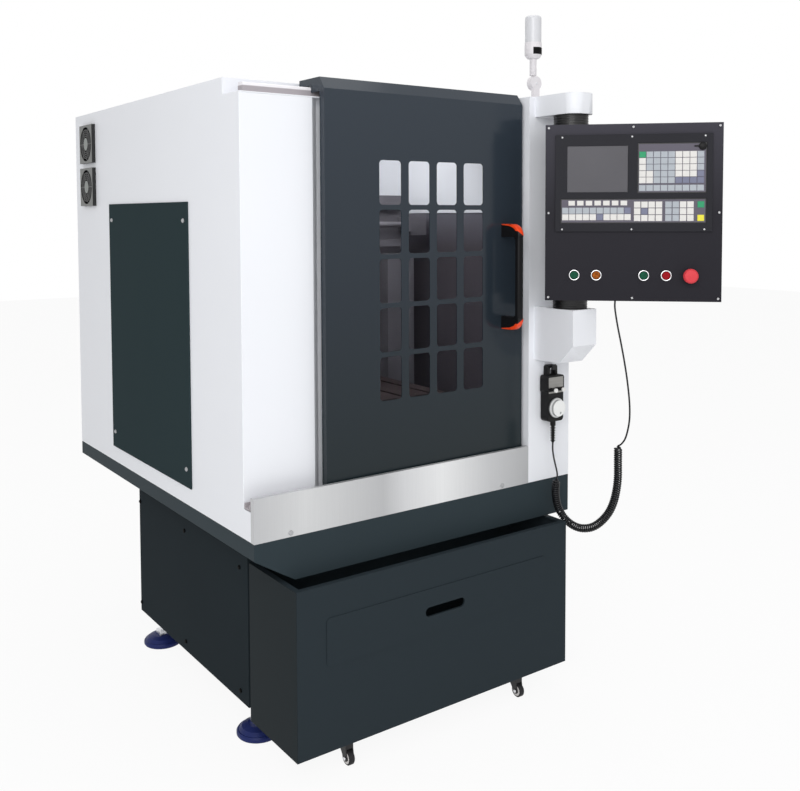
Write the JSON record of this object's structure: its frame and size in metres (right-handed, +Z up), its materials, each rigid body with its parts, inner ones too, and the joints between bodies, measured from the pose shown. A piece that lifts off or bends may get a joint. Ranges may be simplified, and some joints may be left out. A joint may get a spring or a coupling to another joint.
{
  "type": "cnc engraving machine",
  "caption": "Enclosed engraving mill on levelling feet with a sliding windowed door, swing control panel, handwheel pendant, signal lamp and roll-out chip tank.",
  "frame": {"origin": "on the floor below the middle of the bounding box", "axes": "+X to the operator's right, +Y to the back, +Z up"},
  "size_m": [1.2688, 1.7444, 1.965],
  "materials": {
    "white_paint": "fine textured powder coat",
    "slate_paint": "satin powder coat",
    "door_paint": "satin powder coat",
    "strip_steel": "brushed lengthways",
    "rail_alloy": "extruded, satin",
    "bright_steel": "turned, zinc plated",
    "casting": "painted and ground",
    "spindle_case": "turned",
    "blue_plastic": "moulded",
    "tint_glass": "tinted clear sheet",
    "black_plastic": "moulded",
    "orange_plastic": "moulded",
    "panel_paint": "satin powder coat",
    "bezel": "moulded",
    "screen_glass": "satin film",
    "green_cap": "translucent",
    "amber_cap": "translucent",
    "red_cap": "translucent",
    "stop_red": "moulded",
    "lamp_white": "moulded",
    "lamp_clear": "ribbed, milky clear",
    "hook_steel": "black",
    "dial_alloy": "turned",
    "knob_plastic": "moulded",
    "cord_rubber": "matt",
    "wheel_rubber": "matt tread, plastic hub"
  },
  "bodies": {
    "base": {"stand_frame": "slate_paint", "stand_skirt": "slate_paint", "foot_pads": "blue_plastic", "foot_stems": "bright_steel", "chassis_tray": "slate_paint", "left_panel": "white_paint", "right_panel": "white_paint", "rear_panel": "white_paint", "roof_panel": "white_paint", "front_column": "white_paint", "front_strip": "strip_steel", "door_rails": "rail_alloy", "access_covers": "slate_paint", "housing_screws": "bright_steel", "fan_frames": "black_plastic", "fan_guards": "bright_steel", "cabinet_wall": "white_paint", "machine_bed": "casting", "gantry": "casting", "upper_arm": "white_paint", "lower_bracket": "white_paint", "lamp_foot": "lamp_white", "pendant_hook": "hook_steel", "pendant_body": "black_plastic", "cord_straight": "cord_rubber", "cord_coil": "cord_rubber"},
    "fan_upper": {"fan_impeller_upper": "black_plastic"},
    "fan_lower": {"fan_impeller_lower": "black_plastic"},
    "table": {"work_table": "casting"},
    "cross_slide": {"saddle": "casting"},
    "ram": {"z_ram": "casting", "spindle_motor": "spindle_case"},
    "nose": {"spindle_nose": "bright_steel"},
    "door": {"door_shell": "door_paint", "door_pane": "tint_glass", "door_handle": "black_plastic", "handle_ends": "orange_plastic"},
    "panel": {"panel_box": "panel_paint", "face_plate": "panel_paint", "controller": "bezel", "screen": "screen_glass", "cord_gland": "black_plastic"},
    "start_button": {"button_start": "green_cap"},
    "hold_button": {"button_hold": "amber_cap"},
    "power_on_button": {"button_power_on": "green_cap"},
    "power_off_button": {"button_power_off": "red_cap"},
    "stop_button": {"emergency_stop": "stop_red"},
    "lamp": {"lamp_stem": "lamp_white", "lamp_lens": "lamp_clear"},
    "dial": {"pendant_dial": "dial_alloy"},
    "knob_left": {"pendant_knob_left": "knob_plastic"},
    "knob_right": {"pendant_knob_right": "knob_plastic"},
    "tank": {"tank_body": "slate_paint", "caster_mounts": "hook_steel"},
    "fork_left": {"caster_fork_left": "hook_steel"},
    "fork_right": {"caster_fork_right": "hook_steel"},
    "front_wheel_left": {"wheel_front_left": "wheel_rubber"},
    "front_wheel_right": {"wheel_front_right": "wheel_rubber"},
    "rear_wheel_left": {"wheel_rear_left": "wheel_rubber"},
    "rear_wheel_right": {"wheel_rear_right": "wheel_rubber"}
  },
  "joints": [
    {"name": "door_slide", "type": "slide", "parent": "base", "child": "door", "axis": [-1, 0, 0], "range_m": [0, 0.43]},
    {"name": "panel_swing", "type": "hinge", "parent": "base", "child": "panel", "pos_m": [0.33108, -0.54335, 1.386], "axis": [0, 0, 1], "range_deg": [-45, 45]},
    {"name": "start_push", "type": "slide", "parent": "panel", "child": "start_button", "axis": [0.7071, 0.7071, 0], "range_m": [0, 0.004], "stiffness_N_per_m": 500},
    {"name": "hold_push", "type": "slide", "parent": "panel", "child": "hold_button", "axis": [0.7071, 0.7071, 0], "range_m": [0, 0.004], "stiffness_N_per_m": 500},
    {"name": "power_on_push", "type": "slide", "parent": "panel", "child": "power_on_button", "axis": [0.7071, 0.7071, 0], "range_m": [0, 0.004], "stiffness_N_per_m": 500},
    {"name": "power_off_push", "type": "slide", "parent": "panel", "child": "power_off_button", "axis": [0.7071, 0.7071, 0], "range_m": [0, 0.004], "stiffness_N_per_m": 500},
    {"name": "stop_push", "type": "slide", "parent": "panel", "child": "stop_button", "axis": [0.7071, 0.7071, 0], "range_m": [0, 0.006], "stiffness_N_per_m": 800},
    {"name": "lamp_fold", "type": "hinge", "parent": "base", "child": "lamp", "pos_m": [0.33358, -0.39085, 1.768], "axis": [0, 1, 0], "range_deg": [-90, 0]},
    {"name": "dial_turn", "type": "hinge", "parent": "base", "child": "dial", "pos_m": [0.33858, -0.48185, 0.819], "axis": [0, -1, 0], "continuous": true},
    {"name": "knob_left_turn", "type": "hinge", "parent": "base", "child": "knob_left", "pos_m": [0.32308, -0.48185, 0.873], "axis": [0, -1, 0], "range_deg": [-60, 60]},
    {"name": "knob_right_turn", "type": "hinge", "parent": "base", "child": "knob_right", "pos_m": [0.35408, -0.48185, 0.873], "axis": [0, -1, 0], "range_deg": [-60, 60]},
    {"name": "fan_upper_spin", "type": "hinge", "parent": "base", "child": "fan_upper", "pos_m": [-0.61242, 0.72215, 1.619], "axis": [1, 0, 0], "continuous": true},
    {"name": "fan_lower_spin", "type": "hinge", "parent": "base", "child": "fan_lower", "pos_m": [-0.61242, 0.72215, 1.478], "axis": [1, 0, 0], "continuous": true},
    {"name": "y_axis", "type": "slide", "parent": "base", "child": "table", "axis": [0, 1, 0], "range_m": [-0.19, 0.19]},
    {"name": "x_axis", "type": "slide", "parent": "base", "child": "cross_slide", "axis": [1, 0, 0], "range_m": [-0.225, 0.225]},
    {"name": "z_axis", "type": "slide", "parent": "cross_slide", "child": "ram", "axis": [0, 0, 1], "range_m": [-0.05, 0.1]},
    {"name": "spindle_spin", "type": "hinge", "parent": "ram", "child": "nose", "pos_m": [-0.09742, 0.01415, 0.93], "axis": [0, 0, 1], "continuous": true},
    {"name": "tank_slide", "type": "slide", "parent": "base", "child": "tank", "axis": [0, -1, 0], "range_m": [0, 0.3]},
    {"name": "caster_left_swivel", "type": "hinge", "parent": "tank", "child": "fork_left", "pos_m": [-0.38542, -0.46985, 0.06], "axis": [0, 0, 1], "continuous": true},
    {"name": "caster_right_swivel", "type": "hinge", "parent": "tank", "child": "fork_right", "pos_m": [0.19058, -0.46985, 0.06], "axis": [0, 0, 1], "continuous": true},
    {"name": "wheel_front_left_spin", "type": "hinge", "parent": "fork_left", "child": "front_wheel_left", "pos_m": [-0.38542, -0.48385, 0.0193], "axis": [1, 0, 0], "continuous": true},
    {"name": "wheel_front_right_spin", "type": "hinge", "parent": "fork_right", "child": "front_wheel_right", "pos_m": [0.19058, -0.48385, 0.0193], "axis": [1, 0, 0], "continuous": true},
    {"name": "wheel_rear_left_spin", "type": "hinge", "parent": "tank", "child": "rear_wheel_left", "pos_m": [-0.38542, -0.29585, 0.0193], "axis": [1, 0, 0], "continuous": true},
    {"name": "wheel_rear_right_spin", "type": "hinge", "parent": "tank", "child": "rear_wheel_right", "pos_m": [0.19058, -0.29585, 0.0193], "axis": [1, 0, 0], "continuous": true}
  ]
}
